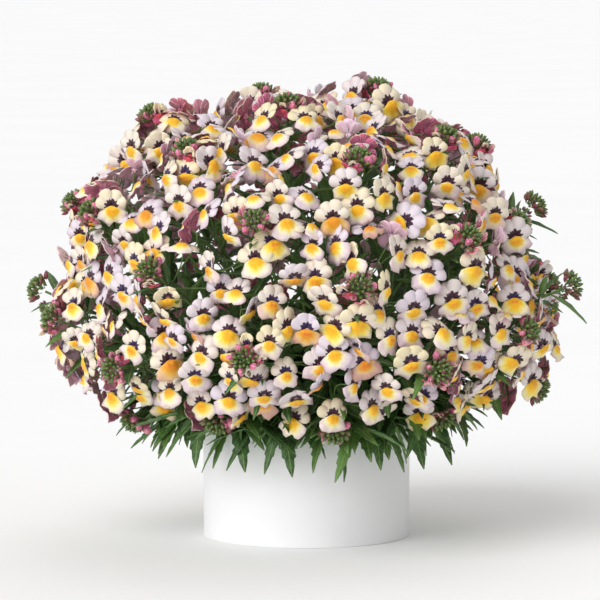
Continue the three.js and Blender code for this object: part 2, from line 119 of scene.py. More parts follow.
def spread(kind, fixed, random):  # points start on a spiral, stray, and are pushed apart
    count = kind["count"]
    started = []
    for i in range(count):
        z = 1 - (1 - lowestSine) * (i + 0.5) / count
        level = math.sqrt(1 - z * z)
        turn = i * math.pi * (3 - math.sqrt(5))
        d = np.array([[level * math.cos(turn), level * math.sin(turn), z]])
        stray = np.array([random() - 0.5, random() - 0.5, random() - 0.5]) * kind["stray"]
        started.append((d * domeRadius(d)[:, None] + domeCentre + stray)[0])
    points = onDome(np.array(started))
    for _ in range(kind.get("rounds", spreading["rounds"])):
        room = kind["room"] * (1 + kind["fullerInFront"] * points[:, 1] / dome["reach"])
        push = np.zeros_like(points)
        for others, share in ((points, 1), (fixed, kind["roomAtFixed"])):
            apart = points[:, None, :] - others[None, :, :]
            far = np.linalg.norm(apart, axis=2)
            wanted = (room * share)[:, None]
            near = (far < wanted) & (far > 0)
            pushed = np.where(near, spreading["push"] * (wanted - far) / np.where(near, far, 1), 0)
            push += (apart * pushed[:, :, None]).sum(axis=1)
        points = onDome(points + push)
    return points


def makeTip(surface, reach):
    axis = (outwardAt(surface) + up * head["towardsLight"]).normalized()
    at = Vector(surface)
    return {"surface": at, "axis": axis, "core": at + axis * (reach - head["coreDepth"]),
            "tuft": at + axis * (reach - head["tuftDepth"]), "blooms": []}


# each flower hangs on the nearest head, facing away from its middle
def hangBloom(point, random, deeper=0, moreWander=0):
    at = Vector(point)
    tip = min(heads, key=lambda t: (t["surface"] - at).length)
    outward = outwardAt(point)
    lateral = at - tip["surface"]
    lateral -= tip["axis"] * lateral.dot(tip["axis"])
    far = min(1, (lateral.length - bloom["nearest"]) / (bloom["farthest"] - bloom["nearest"]))
    depth = bloom["depthByDistance"] * far + (1 - bloom["depthByDistance"]) * random()
    centre = at - outward * (bloom["depth"] * depth + deeper)
    away = bloom["away"] + bloom["awayOnTop"] * max(0, outward.z)
    facing = outward * bloom["outward"] + lateral.normalized() * away
    facing.z *= bloom["levelling"]
    wander = Vector((random() - 0.5, random() - 0.5, random() - 0.5))
    facing = (facing + wander * (bloom["wander"] + moreWander)).normalized()
    stalk = (centre - tip["core"]).normalized()
    if facing.dot(stalk) < bloom["leastForward"]:
        facing = (facing + stalk * bloom["forward"]).normalized()
    mostTurn = math.radians(bloom["askew"] if random() < bloom["askewShare"] else bloom["turn"])
    turn = mostTurn * (random() + random() - 1)
    size = bloom["smallest"] + (bloom["largest"] - bloom["smallest"]) * random()
    level = (up - facing * facing.z).normalized()
    right = level.cross(facing)
    tip["blooms"].append({
        "centre": centre, "facing": facing, "size": size, "far": max(0, far),
        "across": right * math.cos(turn) + level * math.sin(turn),
        "upward": level * math.cos(turn) - right * math.sin(turn)})


shootPoints = onDome(domeCentre + np.array([wayTo(a, e) for a, e, _ in shoots]))
headPoints = spread(head, shootPoints, makeRandom(head["seed"]))
shootTips = [makeTip(p, s[2]) for p, s in zip(shootPoints, shoots)]
heads = [makeTip(p, 0) for p in headPoints]
tipPoints = np.concatenate([headPoints, shootPoints])
bloomRandom = makeRandom(bloom["seed"])
bloomPoints = spread(bloom, tipPoints, bloomRandom)
for bloomPoint in bloomPoints:
    hangBloom(bloomPoint, bloomRandom)
# more flowers between and behind those of the solids
between = {"count": 230, "seed": 555, "stray": 18, "room": 22, "roomAtFixed": 0.85, "fullerInFront": 0.1,
           "rounds": 14, "deeper": 4, "moreWander": 1.3, "lowest": 127}
betweenRandom = makeRandom(between["seed"])
for bloomPoint in spread(between, np.concatenate([tipPoints, bloomPoints]), betweenRandom):
    if bloomPoint[2] > between["lowest"]:
        hangBloom(bloomPoint, betweenRandom, between["deeper"], between["moreWander"])

sectorAngle = 2 * math.pi / stem["sectors"]


def lineAt(angle, line):
    return [Vector((r * math.cos(angle), r * math.sin(angle), z)) for r, z in line]


def pointAlong(line, share):
    lengths = [(b - a).length for a, b in zip(line, line[1:])]
    left = share * sum(lengths)
    for a, b, length in zip(line, line[1:], lengths):
        if left <= length:
            return a.lerp(b, left / length)
        left -= length
    return line[-1].copy()


def bezier(a, b, c, d, count):
    return [a * (1 - t) ** 3 + b * (3 * t * (1 - t) ** 2) + c * (3 * t * t * (1 - t)) + d * t ** 3
            for t in (i / count for i in range(count + 1))]


def limited(value):
    return min(1, max(0, value))


def around(axis, side, turn):  # a direction square to the axis, turned from the side
    return side * math.cos(turn) + axis.cross(side) * math.sin(turn)


stems = []
for s in range(stem["sectors"]):
    angle = s * sectorAngle
    start = lineAt(angle, skirt["line"][:1])
    turns = [angle + hand * math.radians(skirt["turn"]) for hand in (-1, 1)]
    stems.append({"name": f"leafy_stem_{s + 1}", "line": lineAt(angle, stem["line"]), "tips": [],
                  "hanging": [start + lineAt(turn, skirt["line"][1:]) for turn in turns]})
middleStem = {"name": "leafy_stem_middle", "line": [Vector((0, 0, z)) for z in stem["middleHeights"]],
              "hanging": [], "tips": []}
for tip in heads + shootTips:
    x, y = tip["surface"].x, tip["surface"].y
    sector = round(math.atan2(y, x) / sectorAngle) % stem["sectors"]
    owner = middleStem if math.hypot(x, y) < stem["middleReach"] else stems[sector]
    owner["tips"].append(tip)


def branchLine(owner, tip, count):
    height = (tip["core"].z - branch["lowestHead"]) / (branch["highestHead"] - branch["lowestHead"])
    share = branch["lowestStart"] + (branch["highestStart"] - branch["lowestStart"]) * limited(height)
    start = pointAlong(owner["line"], share)
    end = tip["core"] - tip["axis"] * branch["belowHead"]
    bend = end - tip["axis"] * (branch["bend"] * (end - start).length)
    return bezier(start, start.lerp(bend, branch["slack"]), bend, end, count) + [tip["tuft"]]


print("layout:", sum(len(t["blooms"]) for t in heads), "flowers on", len(heads), "heads")


# shader helpers
def addNode(tree, kind, sockets=None, **settings):
    made = tree.nodes.new("ShaderNode" + kind)
    for name, value in settings.items():
        setattr(made, name, value)
    for name, value in (sockets or {}).items():
        if isinstance(value, bpy.types.NodeSocket):
            tree.links.new(value, made.inputs[name])
        else:
            made.inputs[name].default_value = value
    return made


def maths(tree, operation, *values):
    return addNode(tree, "Math", dict(enumerate(values)), operation=operation).outputs[0]


def plus(tree, a, b):
    return maths(tree, "ADD", a, b)


def minus(tree, a, b):
    return maths(tree, "SUBTRACT", a, b)


def times(tree, a, b):
    return maths(tree, "MULTIPLY", a, b)


def over(tree, a, b):
    return maths(tree, "DIVIDE", a, b)


def span(tree, x, y):  # how far the point x, y lies from zero
    point = addNode(tree, "CombineXYZ", {0: x, 1: y}).outputs[0]
    return addNode(tree, "VectorMath", {0: point}, operation="LENGTH").outputs["Value"]


def blend(tree, factor, first, second, kind="MIX"):
    sockets = {0: factor, 6: first, 7: second}
    return addNode(tree, "Mix", sockets, data_type="RGBA", blend_type=kind).outputs[2]


def ramp(tree, factor, stops):
    made = addNode(tree, "ValToRGB", {0: factor})
    band = made.color_ramp
    while len(band.elements) < len(stops):
        band.elements.new(0.5)
    for element, (place, colour) in zip(band.elements, stops):
        element.position = place
        element.color = colour
    return made.outputs[0]


def step(tree, value, low, high):  # soft step from 0 at low to 1 at high
    made = addNode(tree, "MapRange", {0: value, 1: low, 2: high}, interpolation_type="SMOOTHSTEP")
    return made.outputs[0]


def colour(r, g, b):  # a colour as the eye reads it, 0 to 255, made linear
    linear = [((c / 255 + 0.055) / 1.055) ** 2.4 if c > 10 else c / 255 / 12.92 for c in (r, g, b)]
    return (*linear, 1)


def newGroup(name, inputs, outputs):
    group = bpy.data.node_groups.new(name, "ShaderNodeTree")
    for label, kind, value in inputs:
        socket = group.interface.new_socket(label, in_out="INPUT", socket_type="NodeSocket" + kind)
        if value is not None:
            socket.default_value = value
    for label, kind in outputs:
        group.interface.new_socket(label, in_out="OUTPUT", socket_type="NodeSocket" + kind)
    return group, group.nodes.new("NodeGroupInput"), group.nodes.new("NodeGroupOutput")


def newMaterial(name, plain, roughness, **constants):
    material = bpy.data.materials.new(name)
    material.use_nodes = True
    material.diffuse_color = plain
    tree = material.node_tree
    surface = tree.nodes["Principled BSDF"]
    surface.inputs["Base Color"].default_value = plain
    surface.inputs["Roughness"].default_value = roughness
    for label, value in constants.items():
        surface.inputs[label.replace("_", " ")].default_value = value
    return material, tree, surface


# fine uneven colour and height, for the leaves, stalks, buds, soil, pot and floor
def makeMottle():
    group, given, made = newGroup(
        "mottle", [("Vector", "Vector", None), ("Scale", "Float", 100.0), ("Detail", "Float", 3.0)],
        [("Shade", "Float"), ("Height", "Float")])
    sockets = {label: given.outputs[label] for label in ("Vector", "Scale", "Detail")}
    noise = addNode(group, "TexNoise", sockets).outputs["Fac"]
    group.links.new(step(group, noise, 0.3, 0.7), made.inputs["Shade"])
    group.links.new(noise, made.inputs["Height"])
    return group


planSize = 30  # millimetres of a flower that its flat plan takes up


# lines that fan out from a flower's throat, read from the flat plan of the flower
def makeFan():
    labels = ("Across", "Up", "Far", "Line", "Stray")
    group, given, made = newGroup(
        "fanLines", [("Plan", "Vector", None), ("Lines", "Float", 60.0), ("Seed", "Float", 0.0)],
        [(label, "Float") for label in labels])
    away = addNode(group, "VectorMath", {0: given.outputs["Plan"], 1: (0.5, 0.5, 0)}, operation="SUBTRACT")
    size = addNode(group, "VectorMath", {0: away.outputs[0], "Scale": planSize}, operation="SCALE").outputs[0]
    across, upward, _ = addNode(group, "SeparateXYZ", {0: size}).outputs
    angle = maths(group, "ARCTAN2", upward, across)
    far = addNode(group, "VectorMath", {0: size}, operation="LENGTH").outputs["Value"]
    spot = addNode(group, "CombineXYZ", {0: angle, 1: times(group, far, 0.05),
                                         2: times(group, given.outputs["Seed"], 40.0)}).outputs[0]
    stray = addNode(group, "TexNoise", {"Vector": spot, "Scale": 3.2, "Detail": 2.0}).outputs["Fac"]
    bent = plus(group, times(group, angle, given.outputs["Lines"]), times(group, stray, 9.0))
    line = plus(group, times(group, maths(group, "SINE", bent), 0.5), 0.5)
    for label, socket in zip(labels, (across, upward, far, line, stray)):
        group.links.new(socket, made.inputs[label])
    return group


mottleGroup = makeMottle()
fanGroup = makeFan()


def toneOf(tree):  # each flower's and leaf's own four numbers
    tone = addNode(tree, "Attribute", attribute_name="tone")
    split = addNode(tree, "SeparateColor", {0: tone.outputs["Color"]})
    return split.outputs[0], split.outputs[1], split.outputs[2], tone.outputs["Alpha"]


def planIn(tree):
    return addNode(tree, "UVMap", uv_map="plan").outputs[0]


def fanLines(tree, plan, lines, seed):
    sockets = {"Plan": plan, "Lines": lines, "Seed": seed}
    return addNode(tree, "Group", sockets, node_tree=fanGroup).outputs


def mottled(tree, scale, detail=3.0):
    place = addNode(tree, "TexCoord").outputs["Object"]
    sockets = {"Vector": place, "Scale": scale, "Detail": detail}
    return addNode(tree, "Group", sockets, node_tree=mottleGroup).outputs


# the colour and a fine bump, its depth in millimetres
def finish(tree, surface, base, height, strength, depth):
    tree.links.new(base, surface.inputs["Base Color"])
    bump = addNode(tree, "Bump", {"Height": height, "Strength": strength, "Distance": depth * mm})
    tree.links.new(bump.outputs[0], surface.inputs["Normal"])


petalLook = {
    "lilac": colour(224, 213, 223), "white": colour(234, 226, 224), "cream": colour(242, 229, 182),
    "crown": colour(54, 2, 34), "crownBlue": colour(44, 10, 72), "gold": colour(255, 204, 20),
    "palate": colour(252, 188, 8), "yellow": colour(254, 226, 92), "lipCream": colour(248, 238, 196),
    "lipEdge": colour(238, 220, 216), "lipLilac": colour(222, 202, 212), "spot": colour(236, 124, 12),
    "coral": colour(214, 70, 80), "faded": colour(224, 158, 80), "rose": colour(228, 104, 146),
    "wine": colour(194, 78, 122), "paleBack": colour(250, 216, 234), "roughness": 0.55, "sheen": 0.2,
}
crownLook = {"rays": 11.0, "ray": 1.6, "uneven": 1.8, "taller": 1.2, "reach": 3.1, "soft": 0.3}
lipLook = {"veins": 44.0, "goldFrom": 2.4, "uneven": 5.0, "paler": 1.4, "yellower": 0.85, "reach": 11.0,
           "palate": (4.4, 3.6), "palateAt": 2.0, "spotAside": 1.1, "spotSize": 2.2, "old": 0.86}


def newPetal(name, plain):  # a petal's material, with its tone and its flat plan
    look = petalLook
    material, tree, surface = newMaterial(name, plain, look["roughness"], Sheen_Weight=look["sheen"])
    return material, tree, surface, toneOf(tree), planIn(tree)


def makeUpperPetal():
    look = petalLook
    material, tree, surface, (lilac, _, _, seed), plan = newPetal("petalUpper", look["white"])
    fan = fanLines(tree, plan, crownLook["rays"], seed)
    veins = fanLines(tree, plan, 80.0, seed)
    pale = blend(tree, lilac, look["cream"], look["white"])
    tinted = blend(tree, step(tree, lilac, 0.45, 1.0), pale, look["lilac"])
    nearThroat = times(tree, step(tree, fan["Far"], 11.0, 5.0), 0.3)
    shaded = blend(tree, nearThroat, tinted, look["lilac"])
    fine = times(tree, step(tree, veins["Line"], 0.75, 1.0), 0.12)
    lined = blend(tree, fine, shaded, look["rose"], "MULTIPLY")
    # the crown: rays of uneven length round the throat, longest in the middle
    uneven = times(tree, fan["Stray"], crownLook["uneven"])
    rays = plus(tree, times(tree, fan["Line"], crownLook["ray"]), uneven)
    upwards = times(tree, over(tree, fan["Up"], fan["Far"]), crownLook["taller"])
    reach = plus(tree, rays, plus(tree, upwards, crownLook["reach"]))
    inside = step(tree, minus(tree, reach, fan["Far"]), -crownLook["soft"], crownLook["soft"])
    crownTint = blend(tree, step(tree, seed, 0.62, 0.8), look["crown"], look["crownBlue"])
    finish(tree, surface, blend(tree, inside, lined, crownTint), veins["Line"], 0.25, 0.2)
    return material


def makeLip():
    look = petalLook
    material, tree, surface, (lilac, yellow, age, seed), plan = newPetal("petalLip", look["yellow"])
    veins = fanLines(tree, plan, lipLook["veins"], seed)
    x, y = veins["Across"], veins["Up"]
    # gold runs out from the palate, unevenly, to a pale edge
    far = span(tree, x, plus(tree, y, lipLook["goldFrom"]))
    uneven = times(tree, minus(tree, veins["Stray"], 0.5), lipLook["uneven"])
    shorter = minus(tree, lipLook["paler"], times(tree, yellow, lipLook["yellower"]))
    share = over(tree, times(tree, plus(tree, far, uneven), shorter), lipLook["reach"])
    warm = ramp(tree, share, [(0.0, look["gold"]), (0.24, look["gold"]), (0.38, look["yellow"]),
                              (0.58, look["lipCream"]), (0.84, look["lipEdge"])])
    edge = times(tree, step(tree, share, 0.6, 1.0), step(tree, lilac, 0.4, 0.9))
    cool = blend(tree, edge, warm, look["lipLilac"])
    # the palate, with an orange spot on each half
    width, height = lipLook["palate"]
    down = plus(tree, y, lipLook["palateAt"])
    palateFar = span(tree, over(tree, x, width), over(tree, down, height))
    ragged = plus(tree, palateFar, times(tree, uneven, 0.16))
    raised = blend(tree, step(tree, ragged, 1.25, 0.7), cool, look["palate"])
    spotFar = span(tree, minus(tree, maths(tree, "ABSOLUTE", x), lipLook["spotAside"]), down)
    spots = times(tree, step(tree, spotFar, lipLook["spotSize"], 0.3), times(tree, seed, 0.85))
    spotted = blend(tree, spots, raised, look["spot"])
    fine = times(tree, step(tree, veins["Line"], 0.8, 1.0), 0.12)
    lined = blend(tree, fine, spotted, look["faded"], "MULTIPLY")
    faded = blend(tree, 0.6, lined, look["faded"], "MULTIPLY")
    old = blend(tree, step(tree, age, lipLook["old"], 1.0), lined, faded)
    finish(tree, surface, old, veins["Line"], 0.3, 0.3)
    return material


def makeReverse():
    look = petalLook
    material, tree, surface, (_, _, age, seed), plan = newPetal("petalReverse", look["paleBack"])
    veins = fanLines(tree, plan, 30.0, seed)
    strong = blend(tree, step(tree, veins["Stray"], 0.4, 0.65), look["rose"], look["wine"])
    young = times(tree, step(tree, minus(tree, 1.0, age), 0.1, 0.6), 0.95)
    base = blend(tree, young, look["paleBack"], strong)
    stripes = times(tree, step(tree, veins["Line"], 0.82, 1.0), 0.55)
    finish(tree, surface, blend(tree, stripes, base, look["paleBack"]), veins["Line"], 0.25, 0.2)
    return material


def makeCoralLip():
    look = petalLook
    material, tree, surface, (_, _, _, seed), plan = newPetal("petalCoral", look["coral"])
    veins = fanLines(tree, plan, 30.0, seed)
    tint = blend(tree, step(tree, veins["Far"], 4.0, 9.0), look["coral"], look["rose"])
    lined = blend(tree, times(tree, veins["Line"], 0.25), tint, look["wine"])
    finish(tree, surface, lined, veins["Line"], 0.25, 0.2)
    return material


leafLook = {"dark": colour(34, 64, 28), "mid": colour(62, 104, 44), "light": colour(112, 154, 70),
            "rib": colour(142, 172, 100), "back": colour(104, 134, 84), "roughness": 0.48,
            "ribWidth": 0.045, "sideVeins": 62.0, "veinSlant": 26.0, "mottle": 170.0}
stalkLook = {"plain": colour(92, 122, 62), "dark": colour(74, 106, 50), "light": colour(112, 142, 78)}
budLook = {"plain": colour(96, 118, 66), "green": (colour(70, 98, 48), colour(128, 150, 84)),
           "wine": (colour(112, 40, 66), colour(172, 78, 104))}


def makeLeafMaterial(name, base, other, backFace):
    look = leafLook
    material, tree, surface = newMaterial(name, base, look["roughness"])
    bright = toneOf(tree)[0]
    across, along, _ = addNode(tree, "SeparateXYZ", {0: planIn(tree)}).outputs
    beside = maths(tree, "ABSOLUTE", minus(tree, across, 0.5))
    rib = step(tree, beside, look["ribWidth"], 0.012)
    slant = minus(tree, times(tree, along, look["sideVeins"]), times(tree, beside, look["veinSlant"]))
    side = times(tree, step(tree, maths(tree, "SINE", slant), 0.78, 1.0), 0.5)
    mottle = mottled(tree, look["mottle"])
    tinted = blend(tree, mottle["Shade"], base, other)
    toned = blend(tree, times(tree, bright, 0.6), tinted, look["light"])
    lines = maths(tree, "MAXIMUM", rib, side)
    veined = blend(tree, times(tree, lines, 0.55), toned, look["rib"])
    height = plus(tree, times(tree, lines, 1.0 if backFace else -1.0), times(tree, mottle["Height"], 0.5))
    finish(tree, surface, veined, height, 0.5, 0.4)
    return material


def makeStalkMaterial():
    look = stalkLook
    material, tree, surface = newMaterial("stalkGreen", look["plain"], 0.5)
    bright = toneOf(tree)[0]
    mottle = mottled(tree, 240.0)
    tinted = blend(tree, mottle["Shade"], look["dark"], look["light"])
    toned = blend(tree, times(tree, bright, 0.4), tinted, leafLook["light"])
    finish(tree, surface, toned, mottle["Height"], 0.4, 0.3)
    return material


def makeBudMaterial():
    look = budLook
    material, tree, surface = newMaterial("budSkin", look["plain"], 0.5)
    red = toneOf(tree)[0]
    mottle = mottled(tree, 420.0)
    green, wine = (blend(tree, mottle["Shade"], *look[kind]) for kind in ("green", "wine"))
    finish(tree, surface, blend(tree, red, green, wine), mottle["Height"], 0.4, 0.3)
    return material


petalUpper = makeUpperPetal()
petalLip = makeLip()
petalReverse = makeReverse()
petalCoral = makeCoralLip()
leafFace = makeLeafMaterial("leafFace", leafLook["dark"], leafLook["mid"], False)
leafBack = makeLeafMaterial("leafBack", leafLook["mid"], leafLook["back"], True)
stalkGreen = makeStalkMaterial()
budSkin = makeBudMaterial()
print("finishes of petals and leaves made")


# modelling helpers
def clearSelection():
    bpy.ops.object.select_all(action="DESELECT")


def nameActive(name, *materials):
    piece = bpy.context.active_object
    piece.name = name
    piece.data.name = name
    for material in materials:
        piece.data.materials.append(material)
    return piece


def pick(piece, test):  # selects, in edit mode, the points that pass the test
    bpy.ops.mesh.select_all(action="DESELECT")
    cage = bmesh.from_edit_mesh(piece.data)
    for v in cage.verts:
        v.select = test(v.co)
    cage.select_flush(True)
    bmesh.update_edit_mesh(piece.data)


def pickTop(piece):  # selects, in edit mode, the faces that look up
    bpy.ops.mesh.select_mode(type="FACE")
    bpy.ops.mesh.select_all(action="DESELECT")
    cage = bmesh.from_edit_mesh(piece.data)
    for face in cage.faces:
        face.select_set(face.normal.z > 0.9)
    bmesh.update_edit_mesh(piece.data)


def move(x, y, z):
    bpy.ops.transform.translate(value=(x, y, z))


def scaleBy(x, y, z, centre):
    bpy.ops.transform.resize(value=(x, y, z), center_override=centre)


def applyModifiers(piece):
    for modifier in list(piece.modifiers):
        bpy.ops.object.modifier_apply(modifier=modifier.name)


def applyPlace():
    bpy.ops.object.transform_apply(location=True, rotation=True, scale=True)


def addCylinder(sides, radius, low, high, x=0, y=0):  # in millimetres
    bpy.ops.mesh.primitive_cylinder_add(vertices=sides, radius=radius * mm, depth=(high - low) * mm,
                                        location=(x * mm, y * mm, (low + high) / 2 * mm))
    applyPlace()


# a flat sheet whose rows get their width and place; rows are (along, half width), in millimetres
def makeBlade(name, columns, rows, materials):
    clearSelection()
    count = len(rows) - 1
    bpy.ops.mesh.primitive_grid_add(x_subdivisions=columns, y_subdivisions=count, size=2 * mm)
    piece = nameActive(name, *materials)
    bpy.ops.object.mode_set(mode="EDIT")
    bpy.ops.mesh.select_mode(type="VERT")
    for i in reversed(range(count + 1)):
        (along, half), start = rows[i], (-1 + 2 * i / count) * mm
        pick(piece, lambda co, y=start: abs(co.y - y) < 0.01 * mm and abs(co.z) < 0.01 * mm)
        scaleBy(half, 1, 1, (0, start, 0))
        move(0, along * mm - start, 1.0)  # parked above, out of the way of the rows still to come
    bpy.ops.mesh.select_all(action="SELECT")
    move(0, 0, -1.0)
    bpy.ops.object.mode_set(mode="OBJECT")
    return piece


def setPlan(piece, planOf):  # the flat plan of a petal or leaf, kept as its UV map
    layer = piece.data.uv_layers.active or piece.data.uv_layers.new()
    layer.name = "plan"
    for loop in piece.data.loops:
        layer.data[loop.index].uv = planOf(piece.data.vertices[loop.vertex_index].co)


def flowerPlan(across, upward):  # from millimetres beside and above the throat
    return across / planSize + 0.5, upward / planSize + 0.5


def setTone(piece, values):
    layer = piece.data.attributes.get("tone")
    if layer is None:
        layer = piece.data.attributes.new("tone", "FLOAT_COLOR", "POINT")
    layer.data.foreach_set("color", list(values) * len(piece.data.vertices))


def thicken(piece, thickness):
    solid = piece.modifiers.new("thickness", "SOLIDIFY")
    solid.thickness = thickness * mm
    solid.offset = -1
    solid.material_offset = 1
    applyModifiers(piece)
    bpy.ops.object.shade_smooth()


def settle(piece, matrix):  # puts a finished piece in place and leaves its object at the origin
    piece.data.transform(matrix)
    piece.data.update()


def copyOf(form, matrix, tone=None):  # without a tone the copy keeps the form's own
    copy = form.copy()
    copy.data = form.data.copy()
    bpy.context.scene.collection.objects.link(copy)
    settle(copy, matrix)
    if tone:
        setTone(copy, tone)
    return copy


def joinAll(pieces, name):
    clearSelection()
    for piece in pieces:
        piece.select_set(True)
    bpy.context.view_layer.objects.active = pieces[0]
    if len(pieces) > 1:
        bpy.ops.object.join()
    pieces[0].name = name
    pieces[0].data.name = name
    return pieces[0]


def frameMatrix(x, y, z, at):
    matrix = Matrix((x, y, z)).transposed().to_4x4()
    matrix.translation = at
    return matrix


def standAt(way, at, size, roll):
    x = around(way, way.orthogonal().normalized(), roll)
    return frameMatrix(x * size, way.cross(x) * size, way * size, at * mm)


def turnAbout(axis, degrees):
    return Matrix.Rotation(math.radians(degrees), 4, axis)


# flower forms: what changes from one to the next
lobe = {"rows": [(0, 1.6), (2.6, 2.9), (5.6, 4.2), (8.4, 4.8), (10.8, 3.9), (12.1, 1.7)],
        "columns": 2, "cup": 0.8, "arch": 1.6, "wave": 0.35, "thickness": 0.35, "side": 0.94, "root": 1.2}
lip = {"angles": [0, 25, 50, 70, 82, 94, 108, 130, 150, 180],  # from straight down, round the palate
       "reach": [10.4, 11.2, 11.9, 11.6, 10.4, 7.8, 5.4, 4.2, 3.8, 3.7], "middle": -2.0, "spokes": 22,
       "rows": [0.2, 0.36, 0.5, 0.76, 1.0], "notch": 1.8, "notchWidth": 0.2, "lobules": 7, "scallop": 0.9,
       "ruffle": 1.3, "thickness": 0.35, "lift": 1.2, "fall": 2.2}
palate = {"radius": 4.4, "rise": 2.3, "cleft": 0.6, "cleftWidth": 1.2}
bloomForms = [  # lobe tilt and curl back, lobe spread, lip tilt, ruffle of its edge, size of the lobes
    {"tilt": 6, "curl": 1.6, "spread": 1.0, "lip": 8, "ruffle": 0.8, "lobes": 1.0},
    {"tilt": -10, "curl": 0.6, "spread": 0.96, "lip": 18, "ruffle": 1.1, "lobes": 0.98},
    {"tilt": 14, "curl": 2.6, "spread": 1.05, "lip": 2, "ruffle": 0.6, "lobes": 1.03},
    {"tilt": -22, "curl": -0.6, "spread": 0.92, "lip": 30, "ruffle": 1.3, "lobes": 0.95},
    {"tilt": 2, "curl": 2.0, "spread": 1.02, "lip": -8, "ruffle": 1.5, "lobes": 1.0},
    {"tilt": 20, "curl": 1.2, "spread": 0.98, "lip": 24, "ruffle": 0.9, "lobes": 1.02},
    {"tilt": -4, "curl": 3.0, "spread": 1.04, "lip": 12, "ruffle": 1.2, "lobes": 1.05},
    {"tilt": -16, "curl": 1.8, "spread": 0.94, "lip": -2, "ruffle": 0.7, "lobes": 0.97},
]
lobeAngles = [22, 68, 112, 158]


def makeLobe(form, angle, random):
    size = form["lobes"] * (0.94 + 0.12 * random()) * (1 if 45 < angle < 135 else lobe["side"])
    rows = [(along * size, half * size) for along, half in lobe["rows"]]
    piece = makeBlade("lobe", lobe["columns"], rows, (petalUpper, petalReverse))
    turned = 90 + (angle - 90) * form["spread"] + 6 * (random() - 0.5)
    turn = Matrix.Rotation(math.radians(turned - 90), 3, "Z")
    base = Vector((lobe["root"] * math.cos(math.radians(turned)),
                   0.4 + lobe["root"] * math.sin(math.radians(turned)), 0))

    def planOf(co):
        at = turn @ (Vector(co) / mm) + base
        return flowerPlan(at.x, at.y)
    setPlan(piece, planOf)
    # arched from root to tip, with its edges a little back and one wave
    wave = random() * 2 * math.pi
    half = rows[3][1] * mm
    length = rows[-1][0] * mm
    for v in piece.data.vertices:
        t = v.co.y / length
        w = v.co.x / half
        v.co.z = mm * (lobe["arch"] * math.sin(math.pi * 0.62 * t) - form["curl"] * t ** 3
                       - lobe["cup"] * w * w + lobe["wave"] * math.sin(wave + 4 * w + 2 * t) * t)
    thicken(piece, lobe["thickness"])
    tilt = turnAbout("X", -form["tilt"] + 8 * (random() - 0.5))
    layer = 0.25 if 90 < angle < 130 or angle < 45 else 0  # every second lobe lies over its neighbours
    settle(piece, Matrix.Translation((base + Vector((0, 0, layer))) * mm) @ turn.to_4x4() @ tilt)
    return piece


# a disc grown ring by ring, raised in a palate, then ruffled
def makeLipPetal(form, random, rose=False):
    clearSelection()
    rows = lip["rows"]
    bpy.ops.mesh.primitive_circle_add(vertices=lip["spokes"], radius=rows[0] * mm, fill_type="TRIFAN")
    piece = nameActive("lip", petalCoral if rose else petalLip, petalReverse)
    bpy.ops.object.mode_set(mode="EDIT")
    bpy.ops.mesh.select_mode(type="VERT")
    for inner, outer in zip(rows, rows[1:]):
        pick(piece, lambda co, edge=0.99 * inner * mm: co.length > edge)
        bpy.ops.mesh.extrude_edges_move()
        scaleBy(outer / inner, outer / inner, 1, (0, 0, 0))
    bpy.ops.object.mode_set(mode="OBJECT")
    phase = random() * 2 * math.pi
    for v in piece.data.vertices:
        t = v.co.length / mm
        turn = math.atan2(v.co.x, -v.co.y)
        degrees = abs(math.degrees(turn))
        scallop = math.sin(phase + lip["lobules"] * turn)
        outer = limited((110 - degrees) / 30)  # 1 on the lip, 0 round the palate's top
        reach = np.interp(degrees, lip["angles"], lip["reach"])
        if t > 0.95:
            notch = lip["notch"] * math.exp(-((turn / lip["notchWidth"]) ** 2))
            reach -= notch - outer * lip["scallop"] * scallop
        far = t * reach
        x, y = far * math.sin(turn), lip["middle"] - far * math.cos(turn)
        mound = max(0, 1 - (far / min(palate["radius"], 1.03 * reach)) ** 2) ** 0.5
        cleft = palate["cleft"] * math.exp(-((x / palate["cleftWidth"]) ** 2)) * mound
        ruffle = lip["ruffle"] * form["ruffle"] * outer * t ** 3 * scallop
        rise = lip["lift"] - lip["fall"] * outer * t * t + palate["rise"] * mound - cleft + ruffle
        v.co = Vector((x, y, rise)) * mm
    setPlan(piece, lambda co: flowerPlan(co.x / mm, co.y / mm))
    if piece.data.polygons[0].normal.z < 0:
        piece.data.flip_normals()
    thicken(piece, lip["thickness"])
    settle(piece, turnAbout("X", form["lip"] * 0.8 + 6 * (random() - 0.5)))
    return piece


def makeCone(name, corners, low, high, length, at, material, planHeight):  # lies along Z from its place
    clearSelection()
    bpy.ops.mesh.primitive_cone_add(vertices=corners, radius1=low * mm, radius2=high * mm, depth=length * mm,
                                    location=(0, 0, length / 2 * mm))
    applyPlace()
    cone = nameActive(name, material)
    bpy.ops.object.shade_smooth()
    setPlan(cone, lambda co: (co.x / mm / planSize + 0.5, planHeight))
    settle(cone, at)
    return cone


def makeSepal(turn, splay, z=0):  # a narrow leaf that holds a flower from behind
    place = Matrix.Translation((0, 0, z * mm)) @ (turnAbout("Z", turn) @ turnAbout("Y", splay)
                                                  @ Matrix.Diagonal((0.4, 1, 1, 1)))
    return makeCone("sepal", 4, 0.9, 0, 4.2, place, stalkGreen, 0.5)


def makeCalyx():  # the short tube behind the petals, its spur, and five narrow sepals
    tubePlace = Matrix.Translation((0, 0, -2.9 * mm))
    spurPlace = Matrix.Translation((0, -0.6 * mm, -1.6 * mm)) @ turnAbout("X", 125)
    return [makeCone("tube", 6, 1.1, 2.8, 2.8, tubePlace, petalReverse, 0.35),
            makeCone("spur", 5, 1.1, 0.4, 4.4, spurPlace, petalReverse, 0.3)] + [
            makeSepal(90 + 72 * i, 48, -3.4) for i in range(5)]


def makeBloomForm(i, form):
    random = makeRandom(100 + 17 * i)
    parts = [makeLobe(form, angle, random) for angle in lobeAngles]
    return joinAll(parts + [makeLipPetal(form, random)] + makeCalyx(), f"bloomForm{i}")


